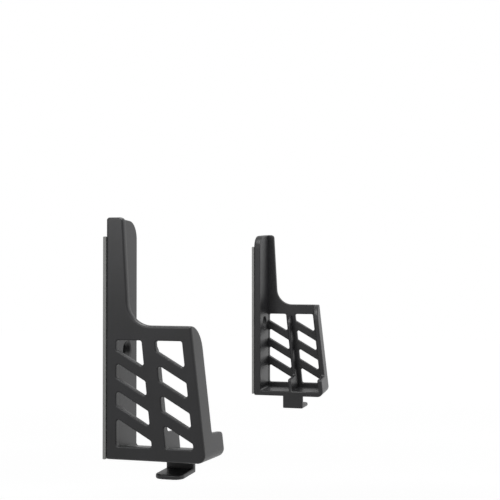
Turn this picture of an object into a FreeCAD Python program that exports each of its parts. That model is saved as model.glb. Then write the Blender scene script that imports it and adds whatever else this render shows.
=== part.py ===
"""Tablet wall mount: a mirrored pair of moulded corner brackets with foam adhesive pads.

Millimetres. X runs from left to right as seen from the front, Y points into the wall
and Z points up. The origin is on the wall, midway between the two screw holes.
Inside a bracket's own body, X is 0 on its outer face, Y is 0 on the back of the wall
plate and Z is 0 on the underside of the floor at the outer face.
"""
import FreeCAD
import Part
import Sketcher

import math
import os

# Driving sizes: name, value in millimetres or degrees, what it is
SIZES = [
    ("tablet_space", 246.7, "between the inner faces of the two side plates"),
    ("bracket_height", 100.0, "underside of the floor to the top of the upright"),
    ("bracket_width", 23.9, "outer face to the open inner edge"),
    ("side_wall", 3.0, "thickness of the side plate"),
    ("back_wall", 4.25, "thickness of the wall plate"),
    ("floor_wall", 3.0, "thickness of the floor"),
    ("lip_wall", 2.8, "thickness of the front lip"),
    ("divider_wall", 1.8, "thickness of the rib between the two pockets"),
    ("bracket_depth", 43.5, "back of the wall plate to the lip's face at the floor"),
    ("front_lean", 6.5, "angle of the lip and front edge from upright, degrees"),
    ("flare", 2.0, "angle at which floor and lip open towards the inner edge, degrees"),
    ("shoulder_height", 55.4, "underside of the floor to the top of the lip"),
    ("upright_depth", 13.2, "depth of the upright's edge line where it would meet the floor"),
    ("upright_lean", 3.23, "angle of the upright's front edge from upright, degrees"),
    ("shoulder_radius", 10.0, "inside curve from the upright to the shoulder"),
    ("top_radius", 2.0, "front corner at the top of the upright"),
    ("back_round", 1.2, "rounding of the wall plate's rear edges"),
    ("plate_radius", 8.0, "inner top corner of the wall plate"),
    ("plate_fall", 3.4, "slope of the wall plate's top edge, degrees"),
    ("toe_radius", 3.5, "bottom front corner"),
    ("lip_reach", 11.45, "width of the upper lip, from the outer face"),
    ("lip_radius", 10.0, "inner top corner of the lip"),
    ("rib_reach", 10.7, "width of the upper rib, from the outer face"),
    ("rib_drop", 6.9, "top of the lip down to the top of the rib"),
    ("rib_radius", 7.5, "inner top corner of the rib"),
    ("foot_height", 10.8, "top of the low foot of lip and rib, at the lip"),
    ("foot_fall", 5.0, "slope of the foot's top edge, degrees"),
    ("foot_radius", 1.5, "inner top corner of the foot"),
    ("window_floor", 5.55, "bottom edge of the windows"),
    ("window_rail", 6.15, "top edge of the windows to the top of the lip"),
    ("rear_frame", 4.55, "back of the wall plate to the rear windows"),
    ("front_frame", 4.75, "front windows to the front edge"),
    ("post_centre", 23.75, "middle of the post between the windows, at the floor line"),
    ("post_width", 6.0, "width of the post between the windows"),
    ("post_lean", 6.0, "angle of the post from upright, degrees"),
    ("slat_width", 4.55, "width of a slanted slat"),
    ("slat_angle", 30.0, "fall of the slats towards the front, degrees"),
    ("slat_margin", 9.5, "what the windows' height has beyond one pitch for each slat"),
    ("rear_slat_lift", 6.4, "middle rear slat's line at the back, above the windows' mid-height"),
    ("front_slat_lift", 16.4, "middle front slat's line at the back, above the same"),
    ("window_radius", 1.0, "corners of the windows"),
    ("outer_round", 1.15, "rounding round the outline of the outer face"),
    ("lip_round", 0.8, "rounding of the lip's front edge"),
    ("corner_fill", 1.2, "inside curve from the wall plate to the floor"),
    ("screw_height", 44.0, "underside of the floor to the screw hole"),
    ("screw_inset", 12.8, "outer face to the screw hole"),
    ("screw_hole", 4.5, "through hole for a 4 mm countersunk screw"),
    ("screw_head", 8.7, "mouth of the countersink"),
    ("screw_taper", 90.0, "angle of the countersink, degrees"),
    ("hook_wall", 2.6, "thickness of the cable hook's stem"),
    ("hook_foot_wall", 2.0, "thickness of the cable hook's foot"),
    ("hook_rear", 18.75, "back of the wall plate to the hook"),
    ("hook_width", 12.5, "width of the hook, front to back"),
    ("hook_drop", 8.2, "floor line to the underside of the hook"),
    ("hook_tip", 5.6, "outer face to the tip of the hook's foot"),
    ("hook_radius", 4.0, "corners of the hook's tip"),
    ("hook_round", 0.7, "rounding of the hook's stem and of its foot's upper edges"),
    ("pad_thickness", 1.4, "thickness of the foam adhesive pad"),
    ("pad_height", 92.0, "length of the pad, from the floor line up"),
    ("pad_inset", 0.4, "pad's edge to the wall plate's open edge"),
]

SLATS = 3  # in each column of windows

doc = FreeCAD.newDocument("tablet_wall_mount")


def make_sheet():
    """Write the driving sizes into a spreadsheet, one aliased cell each."""
    sizes = doc.addObject("Spreadsheet::Sheet", "Sizes")
    for row, (name, value, note) in enumerate(SIZES, start=1):
        sizes.set("A%d" % row, name)
        sizes.set("B%d" % row, str(value))
        sizes.set("C%d" % row, note)
        sizes.setAlias("B%d" % row, name)
    doc.recompute()
    return sizes


sheet = make_sheet()


def size(name):
    return float(getattr(sheet, name))


def origin_plane(body, role):
    for feature in body.Origin.OriginFeatures:
        if feature.Role == role:
            return feature
    raise RuntimeError("no plane " + role)


def add_sketch(body, name, role, lift=None):
    """Add a sketch on one of the body's own planes, lifted off it by an expression."""
    sketch = body.newObject("Sketcher::SketchObject", name)
    sketch.AttachmentSupport = [(origin_plane(body, role), "")]
    sketch.MapMode = "FlatFace"
    if lift:
        sketch.setExpression("AttachmentOffset.Base.z", lift)
    doc.recompute()
    return sketch


def drive(sketch, kind, geometry, point, expression):
    """Tie one coordinate of a sketch point to an expression in the sheet's sizes."""
    value = value_of(sketch, expression)
    axis = -2 if kind == "DistanceX" else -1
    if abs(value) < 1e-9:
        sketch.addConstraint(Sketcher.Constraint("PointOnObject", geometry, point, axis))
        return
    if value > 0:
        index = sketch.addConstraint(Sketcher.Constraint(kind, -1, 1, geometry, point, value))
        sketch.setExpression("Constraints[%d]" % index, expression)
    else:
        index = sketch.addConstraint(Sketcher.Constraint(kind, geometry, point, -1, 1, -value))
        sketch.setExpression("Constraints[%d]" % index, "-(" + expression + ")")


def value_of(sketch, expression):
    return float(sketch.evalExpression("(" + expression + ") * 1.0"))


def round_off(before, corner, after, radius):
    """Where a round of this radius leaves the two lines at a corner, and its middle."""
    to_before = (before - corner).normalize()
    to_after = (after - corner).normalize()
    half = to_before.getAngle(to_after) / 2
    setback = radius / math.tan(half)
    inwards = (to_before + to_after).normalize()
    middle = corner + inwards * (radius / math.sin(half) - radius)
    return corner + to_before * setback, middle, corner + to_after * setback


def add_outline(sketch, corners):
    """Draw a closed outline: each corner is two expressions and, if it is round, a radius."""
    corners = [tuple(corner) + (None,) * (3 - len(corner)) for corner in corners]
    points = [FreeCAD.Vector(value_of(sketch, c[0]), value_of(sketch, c[1]), 0) for c in corners]
    count = len(points)
    rounds = []
    for index, corner in enumerate(corners):
        if corner[2] is None:
            rounds.append(None)
            continue
        radius = value_of(sketch, corner[2])
        rounds.append(round_off(points[index - 1], points[index], points[(index + 1) % count], radius))
    for index in range(count):
        following = (index + 1) % count
        start = rounds[index][2] if rounds[index] else points[index]
        end = rounds[following][0] if rounds[following] else points[following]
        sketch.addGeometry(Part.LineSegment(start, end), False)
    for index, (across, up, radius) in enumerate(corners):
        line_in = (index - 1) % count
        if radius is None:
            sketch.addConstraint(Sketcher.Constraint("Coincident", line_in, 2, index, 1))
            drive(sketch, "DistanceX", index, 1, across)
            drive(sketch, "DistanceY", index, 1, up)
            continue
        way_in = points[index] - points[index - 1]
        way_out = points[(index + 1) % count] - points[index]
        first, last = (1, 2) if way_in.cross(way_out).z > 0 else (2, 1)
        arc = sketch.addGeometry(Part.Arc(*rounds[index]), False)
        sketch.addConstraint(Sketcher.Constraint("Tangent", line_in, 2, arc, first))
        sketch.addConstraint(Sketcher.Constraint("Tangent", arc, last, index, 1))
        turn = sketch.addConstraint(Sketcher.Constraint("Radius", arc, value_of(sketch, radius)))
        sketch.setExpression("Constraints[%d]" % turn, radius)
        spot = sketch.addGeometry(Part.Point(points[index]), True)
        drive(sketch, "DistanceX", spot, 1, across)
        drive(sketch, "DistanceY", spot, 1, up)
        sketch.addConstraint(Sketcher.Constraint("PointOnObject", spot, 1, line_in))
        sketch.addConstraint(Sketcher.Constraint("PointOnObject", spot, 1, index))
    doc.recompute()


def pad(body, name, sketch, length, backwards=False):
    feature = body.newObject("PartDesign::Pad", name)
    feature.Profile = sketch
    feature.Reversed = backwards
    feature.Refine = True
    feature.setExpression("Length", length)
    doc.recompute()
    return feature


def pocket(body, name, sketch, length=None, backwards=False):
    """Cut a sketch's outline out of the body, to a length or right through."""
    before = body.Shape.Volume
    feature = body.newObject("PartDesign::Pocket", name)
    feature.Profile = sketch
    feature.Reversed = backwards
    feature.Refine = True
    if length:
        feature.setExpression("Length", length)
    else:
        feature.Type = "ThroughAll"
    doc.recompute()
    if body.Shape.Volume > before - 0.1:
        raise RuntimeError(name + " cuts nothing")
    return feature


def fillet(body, name, radius, wanted):
    """Round every edge of the body that the test picks out."""
    base = body.Tip
    names = []
    for index, edge in enumerate(base.Shape.Edges, start=1):
        if wanted(edge):
            names.append("Edge%d" % index)
    if not names:
        raise RuntimeError(name + " finds no edge")
    feature = body.newObject("PartDesign::Fillet", name)
    feature.Base = (base, names)
    feature.setExpression("Radius", radius)
    feature.Refine = True
    doc.recompute()
    if feature.Shape.isNull() or not feature.Shape.isValid():
        raise RuntimeError(name + " makes no sound shape")
    return feature


def spots(edge):
    """The two ends and the middle of an edge."""
    middle = edge.valueAt((edge.FirstParameter + edge.LastParameter) / 2)
    return [edge.Vertexes[0].Point, middle, edge.Vertexes[-1].Point]


def near(a, b, room=0.02):
    return abs(a - b) < room


def stays_at(edge, across):
    """True for an edge that keeps one distance from the outer face."""
    return all(near(spot.x, across) for spot in spots(edge))


def goes_through(edge, wall):
    """True for an edge that runs straight through a wall of this thickness at the outer face."""
    a, middle, b = spots(edge)
    straight = near(a.y, b.y) and near(a.z, b.z)
    return straight and near(min(a.x, b.x), 0) and near(max(a.x, b.x), wall)


def tan(name):
    return math.tan(math.radians(size(name)))


# Expressions that several sketches share, written in the sheet's names
FLARE_SLOPE = "tan(Sizes.flare * 1 deg)"
FRONT_SLOPE = "tan(Sizes.front_lean * 1 deg)"
POST_SLOPE = "tan(Sizes.post_lean * 1 deg)"
SLAT_SLOPE = "tan(Sizes.slat_angle * 1 deg)"
SLAT_HALF = "Sizes.slat_width / cos(Sizes.slat_angle * 1 deg) / 2"
WINDOW_HEAD = "(Sizes.shoulder_height - Sizes.window_rail)"
MID_WINDOW = "(Sizes.window_floor + %s) / 2" % WINDOW_HEAD
SLAT_PITCH = "(%s - Sizes.window_floor - Sizes.slat_margin) / %d" % (WINDOW_HEAD, SLATS)
REAR_RISE = MID_WINDOW + " + Sizes.rear_slat_lift"
FRONT_RISE = MID_WINDOW + " + Sizes.front_slat_lift"
MID_FLOOR = "Sizes.floor_wall / 2"
OVERRUN = "Sizes.floor_wall * 2"


def add_lip(body):
    """Front lip: its plan outline, flared, pushed up and back along the front lean."""
    face = "Sizes.bracket_depth + %s * %s" % (OVERRUN, FRONT_SLOPE)
    wall = "Sizes.lip_wall / cos(Sizes.front_lean * 1 deg) / cos(Sizes.flare * 1 deg)"
    out = "Sizes.bracket_width * " + FLARE_SLOPE
    sketch = add_sketch(body, "LipOutline", "XY_Plane", "-(%s)" % OVERRUN)
    add_outline(sketch, [
        ("0", "-(%s)" % face),
        ("Sizes.bracket_width", "-(%s + %s)" % (face, out)),
        ("Sizes.bracket_width", "-(%s + %s - %s)" % (face, out, wall)),
        ("0", "-(%s - %s)" % (face, wall)),
    ])
    lip = pad(body, "Lip", sketch, "Sizes.shoulder_height + " + OVERRUN)
    lip.UseCustomVector = True
    lip.AlongSketchNormal = True
    lip.Direction = FreeCAD.Vector(0, tan("front_lean"), 1)
    lip.setExpression("Direction.y", FRONT_SLOPE)
    doc.recompute()


def add_floor(body):
    """Floor that falls towards the inner edge, and the lip cut off flush below it."""
    fall = "Sizes.bracket_width * " + FLARE_SLOPE
    section = add_sketch(body, "FloorSection", "XZ_Plane")
    add_outline(section, [
        ("0", "0"),
        ("Sizes.bracket_width", "-(%s)" % fall),
        ("Sizes.bracket_width", "Sizes.floor_wall - " + fall),
        ("0", "Sizes.floor_wall"),
    ])
    pad(body, "Floor", section, "Sizes.bracket_depth - Sizes.lip_wall / 2")
    beyond = "(Sizes.bracket_width + Sizes.floor_wall)"
    under = add_sketch(body, "UnderTrim", "XZ_Plane")
    add_outline(under, [
        ("-Sizes.floor_wall", "Sizes.floor_wall * " + FLARE_SLOPE),
        ("-Sizes.floor_wall", "-3 * " + OVERRUN),
        (beyond, "-3 * " + OVERRUN),
        (beyond, "-%s * %s" % (beyond, FLARE_SLOPE)),
    ])
    pocket(body, "UnderCut", under, backwards=True)


def add_side_plate(body):
    """Side plate with its upright and shoulder; the lip and floor give its other edges."""
    front = "Sizes.bracket_depth - Sizes.lip_wall / 2"
    upright = "Sizes.upright_depth - %s * tan(Sizes.upright_lean * 1 deg)"
    sketch = add_sketch(body, "SideOutline", "YZ_Plane")
    add_outline(sketch, [
        ("0", MID_FLOOR),
        ("-(%s - %s * %s)" % (front, MID_FLOOR, FRONT_SLOPE), MID_FLOOR),
        ("-(%s - Sizes.shoulder_height * %s)" % (front, FRONT_SLOPE), "Sizes.shoulder_height"),
        ("-(" + upright % "Sizes.shoulder_height" + ")", "Sizes.shoulder_height", "Sizes.shoulder_radius"),
        ("-(" + upright % "Sizes.bracket_height" + ")", "Sizes.bracket_height", "Sizes.top_radius"),
        ("0", "Sizes.bracket_height", "Sizes.back_round"),
    ])
    pad(body, "SidePlate", sketch, "Sizes.side_wall")


def add_wall_plate(body):
    """Plate that lies on the wall, with a top edge that falls towards the inner side."""
    fall = "(Sizes.bracket_width - Sizes.side_wall) * tan(Sizes.plate_fall * 1 deg)"
    sketch = add_sketch(body, "PlateOutline", "XZ_Plane")
    add_outline(sketch, [
        ("0", MID_FLOOR),
        ("Sizes.bracket_width", MID_FLOOR),
        ("Sizes.bracket_width", "Sizes.bracket_height - " + fall, "Sizes.plate_radius"),
        ("Sizes.side_wall", "Sizes.bracket_height"),
        ("0", "Sizes.bracket_height"),
    ])
    pad(body, "WallPlate", sketch, "Sizes.back_wall")

    def at_back(edge):
        middle = spots(edge)[1]
        return near(middle.y, 0) and middle.z > size("bracket_height") - size("plate_radius")

    fillet(body, "BackEdges", "Sizes.back_round", at_back)


def add_divider(body):
    """Rib that parts the rear pocket from the front one, in the middle of the post."""
    half = "Sizes.divider_wall / cos(Sizes.post_lean * 1 deg) / 2"
    low = "Sizes.post_centre - %s * %s" % (MID_FLOOR, POST_SLOPE)
    high = "Sizes.post_centre - Sizes.shoulder_height * " + POST_SLOPE
    sketch = add_sketch(body, "DividerOutline", "YZ_Plane")
    add_outline(sketch, [
        ("-(%s - %s)" % (low, half), MID_FLOOR),
        ("-(%s + %s)" % (low, half), MID_FLOOR),
        ("-(%s + %s)" % (high, half), "Sizes.shoulder_height"),
        ("-(%s - %s)" % (high, half), "Sizes.shoulder_height"),
    ])
    pad(body, "Divider", sketch, "Sizes.bracket_width")


def add_trim(body, name, start, top, reach, corner, lift, length=None):
    """Cut one wall back to a narrow upper part, round at its corner, over a wide low foot."""
    beyond = "Sizes.bracket_width + " + OVERRUN
    drop = "(%s - %s) * tan(Sizes.foot_fall * 1 deg)" % (beyond, reach)
    above = "Sizes.shoulder_height + " + OVERRUN
    sketch = add_sketch(body, name + "Trim", "XZ_Plane", lift)
    add_outline(sketch, [
        (start, above),
        (start, top),
        (reach, top, "min(%s; %s - %s - 0.1)" % (corner, reach, start)),
        (reach, "Sizes.foot_height", "Sizes.foot_radius"),
        (beyond, "Sizes.foot_height - " + drop),
        (beyond, above),
    ])
    pocket(body, name + "Cut", sketch, length, backwards=True)


def trim_front(body):
    """Trim the rib and the lip, then round the inner end of each foot."""
    between = "(Sizes.post_centre + Sizes.bracket_depth - Sizes.lip_wall) / 2"
    between = "(%s - Sizes.shoulder_height * %s / 2)" % (between, FRONT_SLOPE)
    rib_top = "Sizes.shoulder_height - Sizes.rib_drop"
    add_trim(body, "Rib", "Sizes.side_wall", rib_top, "Sizes.rib_reach", "Sizes.rib_radius",
             "Sizes.back_wall", between + " - Sizes.back_wall")
    add_trim(body, "Lip", "0", "Sizes.shoulder_height", "Sizes.lip_reach", "Sizes.lip_radius", between)
    inner = size("bracket_width")
    foot_end = size("foot_height") - (inner - size("lip_reach")) * tan("foot_fall")

    def at_foot_corner(edge):
        return stays_at(edge, inner) and all(near(spot.z, foot_end, 0.1) for spot in spots(edge))

    fillet(body, "FootCorner", "Sizes.foot_radius", at_foot_corner)


def cut_windows(body):
    """Open the side plate in two columns, one behind and one in front of the post."""
    post_rear = "(Sizes.post_centre - Sizes.post_width / 2 - %s * %s)"
    post_front = "(Sizes.post_centre + Sizes.post_width / 2 - %s * %s)"
    front = "(Sizes.bracket_depth - Sizes.front_frame - %s * %s)"
    low = "Sizes.window_floor"
    high = WINDOW_HEAD
    rear = add_sketch(body, "RearWindows", "YZ_Plane")
    add_outline(rear, [
        ("-Sizes.rear_frame", low),
        ("-" + post_rear % (low, POST_SLOPE), low),
        ("-" + post_rear % (high, POST_SLOPE), high),
        ("-Sizes.rear_frame", high),
    ])
    pocket(body, "RearWindowCut", rear, "Sizes.side_wall", backwards=True)
    ahead = add_sketch(body, "FrontWindows", "YZ_Plane")
    add_outline(ahead, [
        ("-" + post_front % (low, POST_SLOPE), low),
        ("-" + front % (low, FRONT_SLOPE), low),
        ("-" + front % (high, FRONT_SLOPE), high),
        ("-" + post_front % (high, POST_SLOPE), high),
    ])
    pocket(body, "FrontWindowCut", ahead, "Sizes.side_wall", backwards=True)


def frame_line(depth, slope, rise):
    """Depth of a leaning frame member at the height where the middle slat meets it."""
    height = "(%s - %s * %s)" % (rise, depth, SLAT_SLOPE)
    return "(%s - %s * %s)" % (depth, height, slope)


def add_slats(body, name, rise, rear, front):
    """Slanted slats across one column of windows, their ends in the frame."""
    top = "%s + %d / 2 * %s" % (rise, SLATS - 1, SLAT_PITCH)
    middle = "(" + top + " - (%s) * " + SLAT_SLOPE + ")"
    sketch = add_sketch(body, name + "Slat", "YZ_Plane")
    add_outline(sketch, [
        ("-(%s)" % rear, middle % rear + " - " + SLAT_HALF),
        ("-(%s)" % front, middle % front + " - " + SLAT_HALF),
        ("-(%s)" % front, middle % front + " + " + SLAT_HALF),
        ("-(%s)" % rear, middle % rear + " + " + SLAT_HALF),
    ])
    slat = pad(body, name + "SlatPad", sketch, "Sizes.side_wall")
    row = body.newObject("PartDesign::LinearPattern", name + "Slats")
    row.Originals = [slat]
    row.Direction = (sketch, ["V_Axis"])
    row.Reversed = True
    row.setExpression("Length", "%d * %s" % (SLATS - 1, SLAT_PITCH))
    row.Occurrences = SLATS
    row.Refine = True
    body.Tip = row
    doc.recompute()


def in_window(edge):
    """True for an edge that lies within the outline of the two columns of windows."""
    low = size("window_floor") - 0.1
    high = size("shoulder_height") - size("window_rail") + 0.1
    front = size("front_frame") - size("bracket_depth") - 0.1
    back = 0.1 - size("rear_frame")
    return all(low < spot.z < high and front < spot.y < back for spot in spots(edge))


def under_slats(rise, frame, lean):
    """From a column's lowest front corner, straight up or down to the lowest slat's edge."""
    depth = "(%s - Sizes.window_floor * %s)" % (frame, lean)
    lowest = "%s - %d / 2 * %s - %s" % (rise, SLATS - 1, SLAT_PITCH, SLAT_HALF)
    return "abs(%s - %s * %s - Sizes.window_floor)" % (lowest, depth, SLAT_SLOPE)


def round_windows(body):
    """Round the corners where slats, post and frame meet, by half of the shortest side at most."""
    def at_corner(edge):
        return goes_through(edge, size("side_wall")) and in_window(edge)

    rear = under_slats(REAR_RISE, "Sizes.post_centre - Sizes.post_width / 2", POST_SLOPE)
    front = under_slats(FRONT_RISE, "Sizes.bracket_depth - Sizes.front_frame", FRONT_SLOPE)
    radius = "min(Sizes.window_radius; %s / 2; %s / 2)" % (rear, front)
    fillet(body, "WindowCorners", radius, at_corner)


def round_toe(body):
    """Round the bottom front corner, which flares with floor and lip."""
    depth = size("bracket_depth")

    def at_toe(edge):
        root, middle, rim = sorted(spots(edge), key=lambda spot: spot.x)
        across = near(root.x, 0) and rim.x > size("side_wall")
        return across and near(root.y, -depth) and near(root.z, 0)

    fillet(body, "ToeRound", "Sizes.toe_radius", at_toe)


def round_edges(body):
    """Round the front of the lip, then the whole outline of the outer face."""
    def on_lip_front(edge):
        for spot in spots(edge):
            face = size("bracket_depth") - spot.z * tan("front_lean") + spot.x * tan("flare")
            if not near(spot.y, -face) or spot.z < size("toe_radius"):
                return False
        return not stays_at(edge, 0)

    def on_outline(edge):
        return stays_at(edge, 0) and not in_window(edge)

    fillet(body, "LipFront", "Sizes.lip_round", on_lip_front)
    fillet(body, "OuterEdge", "Sizes.outer_round", on_outline)


def fill_corner(body):
    """Inside curve where the wall plate meets the floor."""
    def at_wall(edge):
        start, middle, end = spots(edge)
        on_plate = all(near(spot.y, -size("back_wall")) for spot in (start, middle, end))
        across = abs(start.x - end.x) > size("bracket_width") / 2
        return on_plate and across and middle.z < size("floor_wall")

    fillet(body, "FloorCorner", "Sizes.corner_fill", at_wall)


def add_hook(body):
    """Cable hook under the floor: a stem at the inner edge and a foot turned outwards."""
    rear = "-Sizes.hook_rear"
    front = "-(Sizes.hook_rear + Sizes.hook_width)"
    stem = add_sketch(body, "HookStem", "YZ_Plane", "Sizes.bracket_width - Sizes.hook_wall")
    add_outline(stem, [
        (rear, "-Sizes.hook_drop"),
        (front, "-Sizes.hook_drop"),
        (front, MID_FLOOR),
        (rear, MID_FLOOR),
    ])
    pad(body, "HookStemPad", stem, "Sizes.hook_wall")
    foot = add_sketch(body, "HookFoot", "XY_Plane", "-Sizes.hook_drop")
    add_outline(foot, [
        ("Sizes.hook_tip", front, "Sizes.hook_radius"),
        ("Sizes.bracket_width", front),
        ("Sizes.bracket_width", rear),
        ("Sizes.hook_tip", rear, "Sizes.hook_radius"),
    ])
    pad(body, "HookFootPad", foot, "Sizes.hook_foot_wall")
    stem_face = size("bracket_width") - size("hook_wall")

    def on_hook(edge):
        start, middle, end = spots(edge)
        foot_top = size("hook_foot_wall") - size("hook_drop")
        level = near(start.z, end.z)
        inside_corner = near(middle.x, stem_face) and level
        round_foot = level and near(middle.z, foot_top) and not inside_corner
        up_stem = not level and middle.x > stem_face - 0.1 and min(start.z, end.z) < foot_top + 0.1
        return round_foot or up_stem

    fillet(body, "HookEdges", "Sizes.hook_round", on_hook)


def add_circle(sketch):
    """Draw the screw's through hole round its centre line."""
    centre = FreeCAD.Vector(size("screw_inset"), size("screw_height"), 0)
    radius = size("screw_hole") / 2
    circle = sketch.addGeometry(Part.Circle(centre, FreeCAD.Vector(0, 0, 1), radius), False)
    drive(sketch, "DistanceX", circle, 3, "Sizes.screw_inset")
    drive(sketch, "DistanceY", circle, 3, "Sizes.screw_height")
    bound = sketch.addConstraint(Sketcher.Constraint("Radius", circle, radius))
    sketch.setExpression("Constraints[%d]" % bound, "Sizes.screw_hole / 2")
    doc.recompute()


def drill_screw_hole(body):
    """Countersunk hole through the wall plate."""
    sketch = add_sketch(body, "ScrewCentre", "XZ_Plane", "Sizes.back_wall")
    add_circle(sketch)
    hole = body.newObject("PartDesign::Hole", "ScrewHole")
    hole.Profile = sketch
    hole.DepthType = "ThroughAll"
    hole.ThreadType = "None"
    hole.HoleCutType = "Countersink"
    hole.HoleCutCustomValues = True
    hole.setExpression("Diameter", "Sizes.screw_hole")
    hole.setExpression("HoleCutDiameter", "Sizes.screw_head")
    hole.setExpression("HoleCutCountersinkAngle", "Sizes.screw_taper")
    hole.Refine = True
    doc.recompute()


def place(body):
    """Move a body from its own frame to its place on the wall."""
    body.setExpression("Placement.Base.x", "-(Sizes.tablet_space / 2 + Sizes.side_wall)")
    body.setExpression("Placement.Base.y", "-Sizes.pad_thickness")
    body.setExpression("Placement.Base.z", "-Sizes.screw_height")
    doc.recompute()


def make_bracket():
    """The left bracket, moulded in one piece."""
    body = doc.addObject("PartDesign::Body", "LeftBracket")
    body.Label = "left_bracket"
    add_lip(body)
    add_floor(body)
    add_side_plate(body)
    add_wall_plate(body)
    add_divider(body)
    fill_corner(body)
    trim_front(body)
    cut_windows(body)
    front_frame = "(Sizes.bracket_depth - Sizes.front_frame / 2)"
    rear_post = frame_line("Sizes.post_centre", POST_SLOPE, REAR_RISE)
    front_post = frame_line("Sizes.post_centre", POST_SLOPE, FRONT_RISE)
    front_end = frame_line(front_frame, FRONT_SLOPE, FRONT_RISE)
    add_slats(body, "Rear", REAR_RISE, "Sizes.rear_frame / 2", rear_post)
    add_slats(body, "Front", FRONT_RISE, front_post, front_end)
    round_toe(body)
    round_windows(body)
    round_edges(body)
    add_hook(body)
    drill_screw_hole(body)
    place(body)
    return body


def make_adhesive_pad():
    """Foam adhesive pad between the left bracket and the wall, holed for the screw."""
    body = doc.addObject("PartDesign::Body", "LeftAdhesivePad")
    body.Label = "left_adhesive_pad"
    sketch = add_sketch(body, "PadOutline", "XZ_Plane")
    inner = "Sizes.bracket_width - Sizes.pad_inset"
    add_outline(sketch, [
        ("0", "0"),
        (inner, "0"),
        (inner, "Sizes.pad_height"),
        ("0", "Sizes.pad_height"),
    ])
    add_circle(sketch)
    pad(body, "Foam", sketch, "Sizes.pad_thickness", backwards=True)
    place(body)
    return body


def mirror(source, name, label):
    """The same piece on the other side of the middle plane."""
    copy = doc.addObject("Part::Mirroring", name)
    copy.Label = label
    copy.Source = source
    copy.Base = FreeCAD.Vector(0, 0, 0)
    copy.Normal = FreeCAD.Vector(1, 0, 0)
    doc.recompute()
    return copy


left_bracket = make_bracket()
left_adhesive_pad = make_adhesive_pad()
pieces = [
    left_bracket,
    left_adhesive_pad,
    mirror(left_bracket, "RightBracket", "right_bracket"),
    mirror(left_adhesive_pad, "RightAdhesivePad", "right_adhesive_pad"),
]

doc.recompute()
for thing in doc.Objects:
    if "Invalid" in thing.State or "Error" in thing.State:
        raise RuntimeError("%s is %s" % (thing.Name, thing.State))
for piece in pieces:
    shape = piece.Shape
    if shape.isNull() or not shape.isValid() or len(shape.Solids) != 1:
        raise RuntimeError("bad shape in " + piece.Label)
    box = shape.optimalBoundingBox(False)
    print(piece.Label, "%.0f mm3" % shape.Volume, len(shape.Faces), "faces")
    print("  X %.2f to %.2f, Y %.2f to %.2f" % (box.XMin, box.XMax, box.YMin, box.YMax))
    print("  Z %.2f to %.2f" % (box.ZMin, box.ZMax))

os.makedirs("parts", exist_ok=True)
for piece in pieces:
    piece.Shape.exportStep("parts/" + piece.Label + ".step")
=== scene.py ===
# %% [markdown]
# # Tablet wall mount
# A mirrored pair of moulded corner brackets, one for each lower corner of what they hold.
# Each one is stuck to the wall by a strip of foam tape and held by one screw. The solids
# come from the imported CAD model, so this scene adds what the eye reads as real: soft
# moulded edges, the fine grain of the plastic, the cells of the foam, and plain studio
# light.

# %% Load the fixed frame
import math

import bmesh
import bpy
from mathutils import Matrix, Vector


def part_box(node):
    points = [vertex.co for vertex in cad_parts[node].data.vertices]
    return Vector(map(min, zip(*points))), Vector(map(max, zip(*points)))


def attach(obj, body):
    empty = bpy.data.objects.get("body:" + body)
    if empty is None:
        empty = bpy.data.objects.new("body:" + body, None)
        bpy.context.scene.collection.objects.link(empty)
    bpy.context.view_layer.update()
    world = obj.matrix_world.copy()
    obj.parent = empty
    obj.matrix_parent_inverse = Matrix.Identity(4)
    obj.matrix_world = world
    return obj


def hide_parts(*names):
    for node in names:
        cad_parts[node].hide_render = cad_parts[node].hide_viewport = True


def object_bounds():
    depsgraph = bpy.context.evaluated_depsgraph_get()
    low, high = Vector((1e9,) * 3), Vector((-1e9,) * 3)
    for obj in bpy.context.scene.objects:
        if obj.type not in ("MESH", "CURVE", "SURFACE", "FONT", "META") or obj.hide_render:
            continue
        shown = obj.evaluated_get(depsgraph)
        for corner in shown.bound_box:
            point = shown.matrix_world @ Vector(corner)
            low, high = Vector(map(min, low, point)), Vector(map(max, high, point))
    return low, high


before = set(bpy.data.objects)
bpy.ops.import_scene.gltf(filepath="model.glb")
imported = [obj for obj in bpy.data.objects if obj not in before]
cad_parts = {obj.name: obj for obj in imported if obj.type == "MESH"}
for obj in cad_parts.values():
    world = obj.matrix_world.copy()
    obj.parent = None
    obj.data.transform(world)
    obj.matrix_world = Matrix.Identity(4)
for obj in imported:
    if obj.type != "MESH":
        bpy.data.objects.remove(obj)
cad_box = [list(map(float, corner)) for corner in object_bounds()]
MM = 0.001
SIDES = ("left", "right")


def in_mm(box):
    """The corners of a box in millimetres, rounded for printing."""
    return [[round(value / MM, 2) for value in corner] for corner in box]


print("CAD box in mm:", in_mm(cad_box))

# %% [markdown]
# The camera comes first, because every later choice is judged through it. The photograph
# was taken close to the left bracket, almost along the wall, so its perspective is strong:
# the far bracket looks about two thirds the size of the near one. A camera turned by hand
# never quite matches, so its place, direction and focal length were fitted to corners of
# both brackets.

# %% Camera
CAMERA_PLACE = Vector((-521.65, -174.67, 35.43)) * MM
CAMERA_VIEW = Vector((0.96246, 0.27092, 0.01644))
FOCAL_PIXELS = 1031.8
IMAGE_PIXELS = 500
SENSOR_MM = 36.0
NEAREST_SEEN = 10 * MM

camera_data = bpy.data.cameras.new("camera")
camera_data.sensor_width = SENSOR_MM
camera_data.lens = FOCAL_PIXELS / IMAGE_PIXELS * SENSOR_MM
camera_data.clip_start = NEAREST_SEEN
camera = bpy.data.objects.new("camera", camera_data)
camera.location = CAMERA_PLACE
camera.rotation_euler = CAMERA_VIEW.to_track_quat("-Z", "Y").to_euler()
bpy.context.scene.collection.objects.link(camera)
bpy.context.scene.camera = camera
print("lens", round(camera_data.lens, 2), "mm")

# %% [markdown]
# Colours are written as sRGB hex values, the way a paint or plastic chart gives them.
# Shaders work in linear light, so one function turns a hex value into that.

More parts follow.
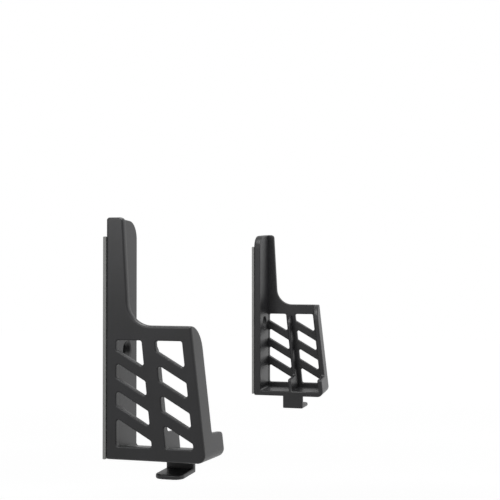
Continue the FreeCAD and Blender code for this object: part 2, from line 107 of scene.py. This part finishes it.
# %% Colour helper
def linear(hex_colour):
    """Linear RGBA of an sRGB hex colour such as #1c1c1d, by the sRGB standard's curve."""
    channels = [int(hex_colour[start:start + 2], 16) / 255 for start in (1, 3, 5)]
    values = [c / 12.92 if c <= 0.04045 else ((c + 0.055) / 1.055) ** 2.4 for c in channels]
    return (*values, 1.0)


print("mid grey in linear light:", round(linear("#808080")[0], 3))

# %% [markdown]
# A material is a small network of nodes. One helper adds a node, sets its values and
# joins its inputs, so that each finish below reads as a list of steps. A second one starts
# a material with Object coordinates, which keep a pattern at its true size on every piece.

# %% Node helpers
def add_node(tree, kind, settings=None, links=None):
    """Add a node: settings are attributes or input values, links are input: output socket."""
    node = tree.nodes.new(kind)
    for name, value in (settings or {}).items():
        if name in node.inputs:
            node.inputs[name].default_value = value
        else:
            setattr(node, name, value)
    for name, socket in (links or {}).items():
        tree.links.new(socket, node.inputs[name])
    return node


def start_material(name):
    """An empty node material with its output node and Object coordinates."""
    material = bpy.data.materials.new(name)
    material.use_nodes = True
    tree = material.node_tree
    tree.nodes.clear()
    place = add_node(tree, "ShaderNodeTexCoord")
    out = add_node(tree, "ShaderNodeOutputMaterial")
    return material, tree, place.outputs["Object"], out


print("materials so far:", len(bpy.data.materials))

# %% [markdown]
# The brackets are injection-moulded ABS, pigmented black. The steel mould is finely spark
# eroded, so the plastic comes out satin: it gives broad soft highlights, a grain of about a
# quarter of a millimetre, and faint clouds where the melt flowed. One flat black with one
# roughness would look like a drawing, so noise of those two sizes varies the colour, the
# roughness and the bump. ABS has an IOR of 1.54. The erosion scatters a part of that
# gloss, so a little less matches the object.

# %% Black moulded ABS
GRAIN_MM = 0.28
GRAIN_DEPTH_MM = 0.02
FLOW_MM = 14.0
ABS_BLACKS = {0.35: "#131314", 0.65: "#18181a"}


def moulded_abs():
    """Black satin plastic with the grain of an eroded mould."""
    material, tree, place, out = start_material("black moulded ABS")
    grain = add_node(tree, "ShaderNodeTexNoise", {
        "Scale": 1 / (GRAIN_MM * MM), "Detail": 3.0, "Roughness": 0.6,
    }, {"Vector": place})
    flow = add_node(tree, "ShaderNodeTexNoise", {
        "Scale": 1 / (FLOW_MM * MM), "Detail": 2.0,
    }, {"Vector": place})
    colour = add_node(tree, "ShaderNodeValToRGB", links={"Fac": flow.outputs["Fac"]})
    for stop, (position, black) in zip(colour.color_ramp.elements, ABS_BLACKS.items()):
        stop.position = position
        stop.color = linear(black)
    satin = add_node(tree, "ShaderNodeMapRange", {"To Min": 0.33, "To Max": 0.43},
                     {"Value": grain.outputs["Fac"]})
    bump = add_node(tree, "ShaderNodeBump", {"Strength": 0.5, "Distance": GRAIN_DEPTH_MM * MM},
                    {"Height": grain.outputs["Fac"]})
    shader = add_node(tree, "ShaderNodeBsdfPrincipled", {"IOR": 1.40}, {
        "Base Color": colour.outputs["Color"],
        "Roughness": satin.outputs["Result"],
        "Normal": bump.outputs["Normal"],
    })
    tree.links.new(shader.outputs["BSDF"], out.inputs["Surface"])
    return material


black_abs = moulded_abs()
print("grain", GRAIN_MM, "mm, flow clouds", FLOW_MM, "mm")

# %% [markdown]
# The tape behind each bracket is closed-cell polyethylene foam, grey, with an adhesive film
# on both faces. A knife cut opens the cells on its edge, and the film is smoother than that
# and a little glossy. Two materials could do it, but one that tells the two apart by itself
# needs no choosing of faces. The surface's own direction in the piece does that: the films
# face the wall and the bracket, along Y.

# %% Cut edge or film
FILM_SURE = 0.9
EDGE_SURE = 0.6


def cut_edge(tree):
    """1 on the knife-cut edges and 0 on the adhesive films, which face along Y."""
    facing = add_node(tree, "ShaderNodeTexCoord").outputs["Normal"]
    parts = add_node(tree, "ShaderNodeSeparateXYZ", links={"Vector": facing})
    along_y = add_node(tree, "ShaderNodeMath", {"operation": "ABSOLUTE"})
    tree.links.new(parts.outputs["Y"], along_y.inputs[0])
    edge = add_node(tree, "ShaderNodeMapRange", {
        "From Min": EDGE_SURE, "From Max": FILM_SURE, "To Min": 1.0, "To Max": 0.0,
    }, {"Value": along_y.outputs["Value"]})
    return edge.outputs["Result"]


print("a film faces along Y by more than", FILM_SURE)

# %% [markdown]
# The cells are a fifth of a millimetre wide and low in contrast, so from a step away the cut
# edge reads as one soft grey line. The film has faint waves where its liner held it. Voronoi
# cells give the first and smooth noise the second.

# %% Grey closed-cell foam
CELL_MM = 0.2
WAVE_MM = 5.0
CELL_DEPTH_MM = 0.05
FOAM_GREYS = {0.0: "#6b6b6a", 0.6: "#7b7b79"}


def closed_cell_foam():
    """Soft grey foam with small open cells on its cut edge and a smooth film on its faces."""
    material, tree, place, out = start_material("grey closed-cell foam")
    edge = cut_edge(tree)
    cells = add_node(tree, "ShaderNodeTexVoronoi", {"Scale": 1 / (CELL_MM * MM)},
                     {"Vector": place})
    waves = add_node(tree, "ShaderNodeTexNoise", {"Scale": 1 / (WAVE_MM * MM), "Detail": 2.0},
                     {"Vector": place})
    height = add_node(tree, "ShaderNodeMix", links={
        "Factor": edge, "A": waves.outputs["Fac"], "B": cells.outputs["Distance"],
    })
    shade = add_node(tree, "ShaderNodeValToRGB", links={"Fac": height.outputs["Result"]})
    for stop, (position, grey) in zip(shade.color_ramp.elements, FOAM_GREYS.items()):
        stop.position = position
        stop.color = linear(grey)
    rough = add_node(tree, "ShaderNodeMapRange", {"To Min": 0.55, "To Max": 0.85},
                     {"Value": edge})
    bump = add_node(tree, "ShaderNodeBump", {"Strength": 0.4, "Distance": CELL_DEPTH_MM * MM},
                    {"Height": height.outputs["Result"]})
    shader = add_node(tree, "ShaderNodeBsdfPrincipled", {"IOR": 1.5}, {
        "Base Color": shade.outputs["Color"],
        "Roughness": rough.outputs["Result"],
        "Normal": bump.outputs["Normal"],
    })
    tree.links.new(shader.outputs["BSDF"], out.inputs["Surface"])
    return material


foam = closed_cell_foam()
print("foam cells", CELL_MM, "mm, film waves", WAVE_MM, "mm")

# %% [markdown]
# The CAD solids already have the moulding's form and its larger curves. What they lack is
# the small radius that a mould leaves on every other edge, such as the rims of the windows.
# In the photograph these rims catch a thin bright line. Building the brackets anew could
# lose their sizes, so a copy of the CAD mesh gets a small bevel. The mesh arrives as loose
# triangles. The copy is merged and its flat faces are joined first: only then does a bevel
# run round a rim without a break.

# %% Merge a CAD copy
WELD = 0.002 * MM
FLAT = math.radians(0.5)


def merged_copy(node_name):
    """A bmesh of a CAD node, its triangles merged and its flat faces joined."""
    shape = bmesh.new()
    shape.from_mesh(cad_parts[node_name].data)
    bmesh.ops.remove_doubles(shape, verts=shape.verts, dist=WELD)
    bmesh.ops.dissolve_limit(shape, angle_limit=FLAT, verts=shape.verts, edges=shape.edges)
    return shape


for node_name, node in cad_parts.items():
    print(node_name, "comes with", len(node.data.polygons), "triangles")

# %% [markdown]
# The round of the lip's upper corner starts inside the side plate, so it cuts a step of an
# eighth of a millimetre into the shoulder's top. A bevel folds over so small a step. The
# corners on it are lifted level in the copy, and the slivers between them are joined.

# %% Level the shoulder
SHOULDER_TOP = 11.4 * MM
STEP_HEIGHT = 0.13 * MM
STEP_FRONT, STEP_BACK = -37 * MM, -30 * MM
STEP_SIDE = 124.7 * MM
NEARLY_FLAT = math.radians(1.5)


def step_corners(shape):
    """Corners on the small step in the shoulder's top."""
    found = []
    for vert in shape.verts:
        near_top = abs(SHOULDER_TOP - vert.co.z) < STEP_HEIGHT
        if near_top and STEP_FRONT < vert.co.y < STEP_BACK and abs(vert.co.x) < STEP_SIDE:
            found.append(vert)
    return found


def level_shoulder(shape):
    """Lift the step's corners level with the shoulder and join the slivers."""
    for vert in step_corners(shape):
        vert.co.z = SHOULDER_TOP
    bmesh.ops.remove_doubles(shape, verts=shape.verts, dist=WELD)
    bmesh.ops.dissolve_degenerate(shape, dist=WELD, edges=shape.edges)
    corners = step_corners(shape)
    edges = list(dict.fromkeys(edge for vert in corners for edge in vert.link_edges))
    bmesh.ops.dissolve_limit(shape, angle_limit=NEARLY_FLAT, verts=corners, edges=edges)


trial = merged_copy("left_bracket")
print("corners on the step:", len(step_corners(trial)))
trial.free()

# %% [markdown]
# The rims are the outside edges that are still sharp. A Bevel modifier would round them too,
# but it can't be steered at one spot: the inner rims of the rear windows run only 0.3 mm
# from the wall plate, so their bevel would end inside it. The operator hands back the
# corners it made, and the last of them are brought back to the plate's front.

# %% Round the rims
RIM_MM = 0.6
RIM_SEGMENTS = 3
SHARP = math.radians(35)
PLATE_FRONT = -5.65 * MM
SIDE_INNER = 123.35 * MM


def sharp_edges(shape):
    """Outside edges that the CAD left sharp."""
    found = []
    for edge in shape.edges:
        if edge.is_manifold and edge.is_convex and edge.calc_face_angle() > SHARP:
            found.append(edge)
    return found


def round_rims(shape):
    """Bevel every sharp outside edge, and end the bevel at the wall plate."""
    rims = sharp_edges(shape)
    made = bmesh.ops.bevel(shape, geom=rims, offset=RIM_MM * MM, offset_type="OFFSET",
                           affect="EDGES", segments=RIM_SEGMENTS, profile=0.5, material=-1,
                           clamp_overlap=False)
    for vert in made["verts"]:
        by_window = SIDE_INNER - RIM_MM * MM < abs(vert.co.x) < SIDE_INNER + WELD
        below_shoulder = vert.co.z < SHOULDER_TOP
        by_plate = PLATE_FRONT < vert.co.y < PLATE_FRONT + RIM_MM * MM
        if by_window and below_shoulder and by_plate:
            vert.co.y = PLATE_FRONT
    return len(rims)


print("rim radius", RIM_MM, "mm in", RIM_SEGMENTS, "steps")

# %% [markdown]
# A piece that stands for a CAD node hides that node. It rides on the part's one body and
# takes its material. Weighted normals keep the large flat faces flat in the light and
# let only the narrow rims turn it.

# %% Finish a piece
def finish_piece(shape, piece_name, node_name, material):
    """Turn a bmesh into a smooth piece that stands for a CAD node."""
    for face in shape.faces:
        face.smooth = True
    mesh = bpy.data.meshes.new(piece_name)
    shape.to_mesh(mesh)
    shape.free()
    mesh.set_sharp_from_angle(angle=SHARP)
    mesh.materials.append(material)
    piece = bpy.data.objects.new(piece_name, mesh)
    bpy.context.scene.collection.objects.link(piece)
    even = piece.modifiers.new("even shading", "WEIGHTED_NORMAL")
    even.keep_sharp = True
    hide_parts(node_name)
    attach(piece, "root")
    print(piece_name, "has", len(mesh.polygons), "faces")
    return piece


print("edges sharper than", round(math.degrees(SHARP)), "degrees stay crisp")

# %% [markdown]
# Both brackets take the same steps. The right one is already mirrored in the CAD model.

# %% Brackets
for side in SIDES:
    bracket = merged_copy(side + "_bracket")
    level_shoulder(bracket)
    print(side, "bracket:", round_rims(bracket), "rim edges rounded")
    finish_piece(bracket, side + "_moulding", side + "_bracket", black_abs)

# %% [markdown]
# The foam strip is a flat sheet, knife-cut to a rectangle, with a hole where the screw goes
# through. The CAD solid has that outline but dead straight edges, so the strip is made anew.
# First its hole is measured. The solid has no corners but those of its outline and its hole,
# so the ones well inside the outline belong to the hole.

# %% Measure the screw hole
WELL_INSIDE = 1 * MM


def screw_hole(node_name):
    """Centre and radius of the round hole, from the corners inside the strip's outline."""
    low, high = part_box(node_name)
    inside = []
    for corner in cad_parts[node_name].data.vertices:
        across = min(corner.co.x - low[0], high[0] - corner.co.x)
        if across > WELL_INSIDE:
            inside.append(corner.co)
    lows = [min(co[axis] for co in inside) for axis in (0, 2)]
    highs = [max(co[axis] for co in inside) for axis in (0, 2)]
    middle = [(lows[i] + highs[i]) / 2 for i in range(len(lows))]
    radius = (highs[0] - lows[0]) / 2
    return middle, radius


for side in SIDES:
    hole_radius = screw_hole(side + "_adhesive_pad")[1]
    print(side, "strip's hole is", round(2 * hole_radius / MM, 2), "mm wide")

# %% [markdown]
# The outline is four corners joined in turn, and the hole is a circle stood upright. Both
# lie in the wall's plane. They could be cut from a box with a Boolean, but a fill between
# two outlines leaves cleaner edges for the bevel.

# %% Outline and hole
HOLE_POINTS = 48


def strip_outline(shape, low, high):
    """Edges of the strip's rectangle, on the wall's plane."""
    places = [(low.x, low.z), (high.x, low.z), (high.x, high.z), (low.x, high.z)]
    corners = [shape.verts.new((x, high.y, z)) for x, z in places]
    return [shape.edges.new((corners[i - 1], corners[i])) for i in range(len(corners))]


def hole_outline(shape, node_name, wall_y):
    """Edges of the screw hole, on the wall's plane."""
    (hole_x, hole_z), radius = screw_hole(node_name)
    upright = Matrix.Rotation(math.pi / 2, 4, "X")
    ring = bmesh.ops.create_circle(shape, cap_ends=False, segments=HOLE_POINTS, radius=radius,
                                   matrix=Matrix.Translation((hole_x, wall_y, hole_z)) @ upright)
    return list(dict.fromkeys(edge for vert in ring["verts"] for edge in vert.link_edges))


print("hole drawn with", HOLE_POINTS, "points")

# %% [markdown]
# The space between outline and hole is filled, and the filled face is drawn out to the
# strip's thickness, as if the foam were sliced off a block. The fill leaves triangles, which
# are joined again where they are flat.

# %% Draw out the strip
def drawn_strip(node_name):
    """A bmesh of the foam strip, still with square edges."""
    low, high = [Vector(corner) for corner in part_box(node_name)]
    shape = bmesh.new()
    edges = strip_outline(shape, low, high) + hole_outline(shape, node_name, high.y)
    bmesh.ops.triangle_fill(shape, edges=edges, use_beauty=True, normal=(0, 1, 0))
    drawn = bmesh.ops.extrude_face_region(shape, geom=shape.faces[:], use_keep_orig=True)
    moved = [item for item in drawn["geom"] if isinstance(item, bmesh.types.BMVert)]
    bmesh.ops.translate(shape, verts=moved, vec=(0, low.y - high.y, 0))
    bmesh.ops.recalc_face_normals(shape, faces=shape.faces)
    bmesh.ops.dissolve_limit(shape, angle_limit=FLAT, verts=shape.verts, edges=shape.edges)
    return shape


for side in SIDES:
    low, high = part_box(side + "_adhesive_pad")
    print(side, "strip is", round((high[1] - low[1]) / MM, 2), "mm thick")

# %% [markdown]
# Foam that is pressed against a wall swells a little at its cut edge. Its rims are rounded,
# and a ring is cut round the middle of the edge and pushed outwards. Cloth simulation would
# be the way for a soft pad, but a tape this thin has neither folds nor sag.

# %% Swell the cut edge
SWELL_MM = 0.12
FOAM_RIM_MM = 0.2
FOAM_RIM_SEGMENTS = 2


def round_strip(shape):
    """Round the strip's rims."""
    rims = [edge for edge in shape.edges if edge.calc_face_angle() > SHARP]
    bmesh.ops.bevel(shape, geom=rims, offset=FOAM_RIM_MM * MM, offset_type="OFFSET",
                    affect="EDGES", segments=FOAM_RIM_SEGMENTS, profile=0.5, material=-1,
                    clamp_overlap=False)


def swell_strip(shape, middle_y):
    """Push the middle of the cut edge outwards."""
    everything = shape.verts[:] + shape.edges[:] + shape.faces[:]
    cut = bmesh.ops.bisect_plane(shape, geom=everything, plane_co=(0, middle_y, 0),
                                 plane_no=(0, 1, 0))
    for item in cut["geom_cut"]:
        if isinstance(item, bmesh.types.BMVert):
            way = item.normal.copy()
            way.y = 0
            item.co += way.normalized() * SWELL_MM * MM


print("cut edge swells by", SWELL_MM, "mm")

# %% [markdown]
# Each strip is drawn, rounded and swollen, and then finished as a piece in place of its
# CAD node.

# %% Foam strips
for side in SIDES:
    node_name = side + "_adhesive_pad"
    low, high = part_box(node_name)
    shape = drawn_strip(node_name)
    round_strip(shape)
    swell_strip(shape, (low[1] + high[1]) / 2)
    strip = finish_piece(shape, side + "_foam_strip", node_name, foam)

# %% [markdown]
# A studio's white surround has two jobs: it lights the object, and it is what the camera and
# the gloss see. One strength can't do both, since black plastic turns grey in so much light.
# The Light Path node tells the two kinds of rays apart, so each job gets its own strength.

# %% Rays that see the background
def seen_directly(tree):
    """1 for rays that show the background: from the camera, off gloss and through glass."""
    ray = add_node(tree, "ShaderNodeLightPath")
    gloss = add_node(tree, "ShaderNodeMath", {"operation": "MAXIMUM"})
    tree.links.new(ray.outputs["Is Glossy Ray"], gloss.inputs[0])
    tree.links.new(ray.outputs["Is Transmission Ray"], gloss.inputs[1])
    seen = add_node(tree, "ShaderNodeMath", {"operation": "MAXIMUM"})
    tree.links.new(ray.outputs["Is Camera Ray"], seen.inputs[0])
    tree.links.new(gloss.outputs["Value"], seen.inputs[1])
    return seen.outputs["Value"]


print("the background is seen by camera, gloss and glass rays")

# %% [markdown]
# The white that is seen is stronger than the light that the surround gives, so the
# background stays white while the black plastic keeps its depth.

# %% White surround
SURROUND_LIGHT = 0.45
SURROUND_SEEN = 1.0
WHITE = linear("#ffffff")


def white_surround():
    """A world that gives soft light and is seen as plain white."""
    world = bpy.data.worlds.new("studio")
    bpy.context.scene.world = world
    world.use_nodes = True
    tree = world.node_tree
    tree.nodes.clear()
    fill = add_node(tree, "ShaderNodeBackground", {"Color": WHITE, "Strength": SURROUND_LIGHT})
    white = add_node(tree, "ShaderNodeBackground", {"Color": WHITE, "Strength": SURROUND_SEEN})
    mix = add_node(tree, "ShaderNodeMixShader", links={"Fac": seen_directly(tree)})
    tree.links.new(fill.outputs["Background"], mix.inputs[1])
    tree.links.new(white.outputs["Background"], mix.inputs[2])
    out = add_node(tree, "ShaderNodeOutputWorld")
    tree.links.new(mix.outputs["Shader"], out.inputs["Surface"])


white_surround()
bpy.context.scene.view_settings.view_transform = "Standard"
print("surround gives", SURROUND_LIGHT, "and is seen at", SURROUND_SEEN)

# %% [markdown]
# Three soft lamps shape the brackets. A small one on the left lights the outer side plates,
# a large one in front lights the lips, and one above lights the tops. All are wide for their
# distance, so no highlight has a hard edge.

# %% Lamps
def add_lamp(name, place_mm, target_mm, size_mm, watts):
    """A square area lamp that looks at a point."""
    data = bpy.data.lights.new(name, "AREA")
    data.size = size_mm * MM
    data.energy = watts
    lamp = bpy.data.objects.new(name, data)
    lamp.location = Vector(place_mm) * MM
    way = (Vector(target_mm) - Vector(place_mm)) * MM
    lamp.rotation_euler = way.to_track_quat("-Z", "Y").to_euler()
    lamp.visible_camera = False
    bpy.context.scene.collection.objects.link(lamp)
    print(name, "gives", watts, "W over", size_mm, "mm")


add_lamp("left lamp", place_mm=(-330, 60, 120), target_mm=(-126, -20, 20),
         size_mm=160, watts=0.25)
add_lamp("front lamp", place_mm=(150, -900, 350), target_mm=(0, -20, 0),
         size_mm=700, watts=3.0)
add_lamp("top lamp", place_mm=(-120, -60, 430), target_mm=(-100, -20, 0),
         size_mm=300, watts=3.0)

# %% [markdown]
# A pale floor lies well below, since the mount hangs on a wall. It is one large flat sheet,
# so that its far edge melts into the surround.

# %% Floor sheet
FLOOR_DROP_MM = 160
FLOOR_HEIGHT = cad_box[0][2] - FLOOR_DROP_MM * MM
FLOOR_SIZE_MM = 6000

floor_mesh = bpy.data.meshes.new("floor")
sheet = bmesh.new()
bmesh.ops.create_grid(sheet, x_segments=1, y_segments=1, size=FLOOR_SIZE_MM / 2 * MM)
bmesh.ops.translate(sheet, verts=sheet.verts, vec=(0, 0, FLOOR_HEIGHT))
sheet.to_mesh(floor_mesh)
sheet.free()
floor = bpy.data.objects.new("floor", floor_mesh)
bpy.context.scene.collection.objects.link(floor)
print("floor at", round(FLOOR_HEIGHT / MM, 1), "mm")

# %% [markdown]
# The lamps light the floor well under the mount but hardly further out, so plain paint would
# turn grey towards the edges. Stronger lamps would bleach the object. Instead the paint also
# glows, more with distance, by what the lamps leave missing. The table gives that glow by
# the distance in millimetres from the place that the lamps light best.

# %% Floor glow
LIT_MIDDLE = (-90 * MM, -160 * MM, FLOOR_HEIGHT)
GLOW_BY_RADIUS_MM = {
    0: 0.08, 200: 0.15, 400: 0.30, 600: 0.44, 800: 0.55, 1100: 0.62, 1600: 0.67, 2500: 0.69,
}


def glow_strength(tree, place):
    """Glow of the floor, more with the distance from where the lamps light it best."""
    apart = add_node(tree, "ShaderNodeVectorMath", {"operation": "DISTANCE"})
    tree.links.new(place, apart.inputs[0])
    apart.inputs[1].default_value = LIT_MIDDLE
    far = max(GLOW_BY_RADIUS_MM)
    share = add_node(tree, "ShaderNodeMapRange", {"From Max": far * MM},
                     {"Value": apart.outputs["Value"]})
    ramp = add_node(tree, "ShaderNodeValToRGB", links={"Fac": share.outputs["Result"]})
    stops = ramp.color_ramp.elements
    for radius in list(GLOW_BY_RADIUS_MM)[1:-1]:
        stops.new(radius / far)
    for stop, glow in zip(stops, GLOW_BY_RADIUS_MM.values()):
        stop.color = (glow, glow, glow, 1)
    return ramp.outputs["Color"]


print("glow from", min(GLOW_BY_RADIUS_MM.values()), "to", max(GLOW_BY_RADIUS_MM.values()))

# %% [markdown]
# The paint itself is matt and pale. Its glow is seen by the same rays as the surround, and
# it lights nothing. So the floor joins the white surround without a seam, and it still
# takes the mount's soft shadow.

# %% Floor paint
def studio_paint():
    """Pale paint with a glow that only the camera, gloss and glass see."""
    material, tree, place, out = start_material("white studio paint")
    paint = add_node(tree, "ShaderNodeBsdfDiffuse", {"Color": linear("#d9d9d9")})
    glow = add_node(tree, "ShaderNodeEmission", links={"Strength": glow_strength(tree, place)})
    both = add_node(tree, "ShaderNodeAddShader")
    tree.links.new(paint.outputs["BSDF"], both.inputs[0])
    tree.links.new(glow.outputs["Emission"], both.inputs[1])
    mix = add_node(tree, "ShaderNodeMixShader", links={"Fac": seen_directly(tree)})
    tree.links.new(paint.outputs["BSDF"], mix.inputs[1])
    tree.links.new(both.outputs["Shader"], mix.inputs[2])
    tree.links.new(mix.outputs["Shader"], out.inputs["Surface"])
    return material


floor_mesh.materials.append(studio_paint())
print("materials:", [material.name for material in bpy.data.materials if material.users])
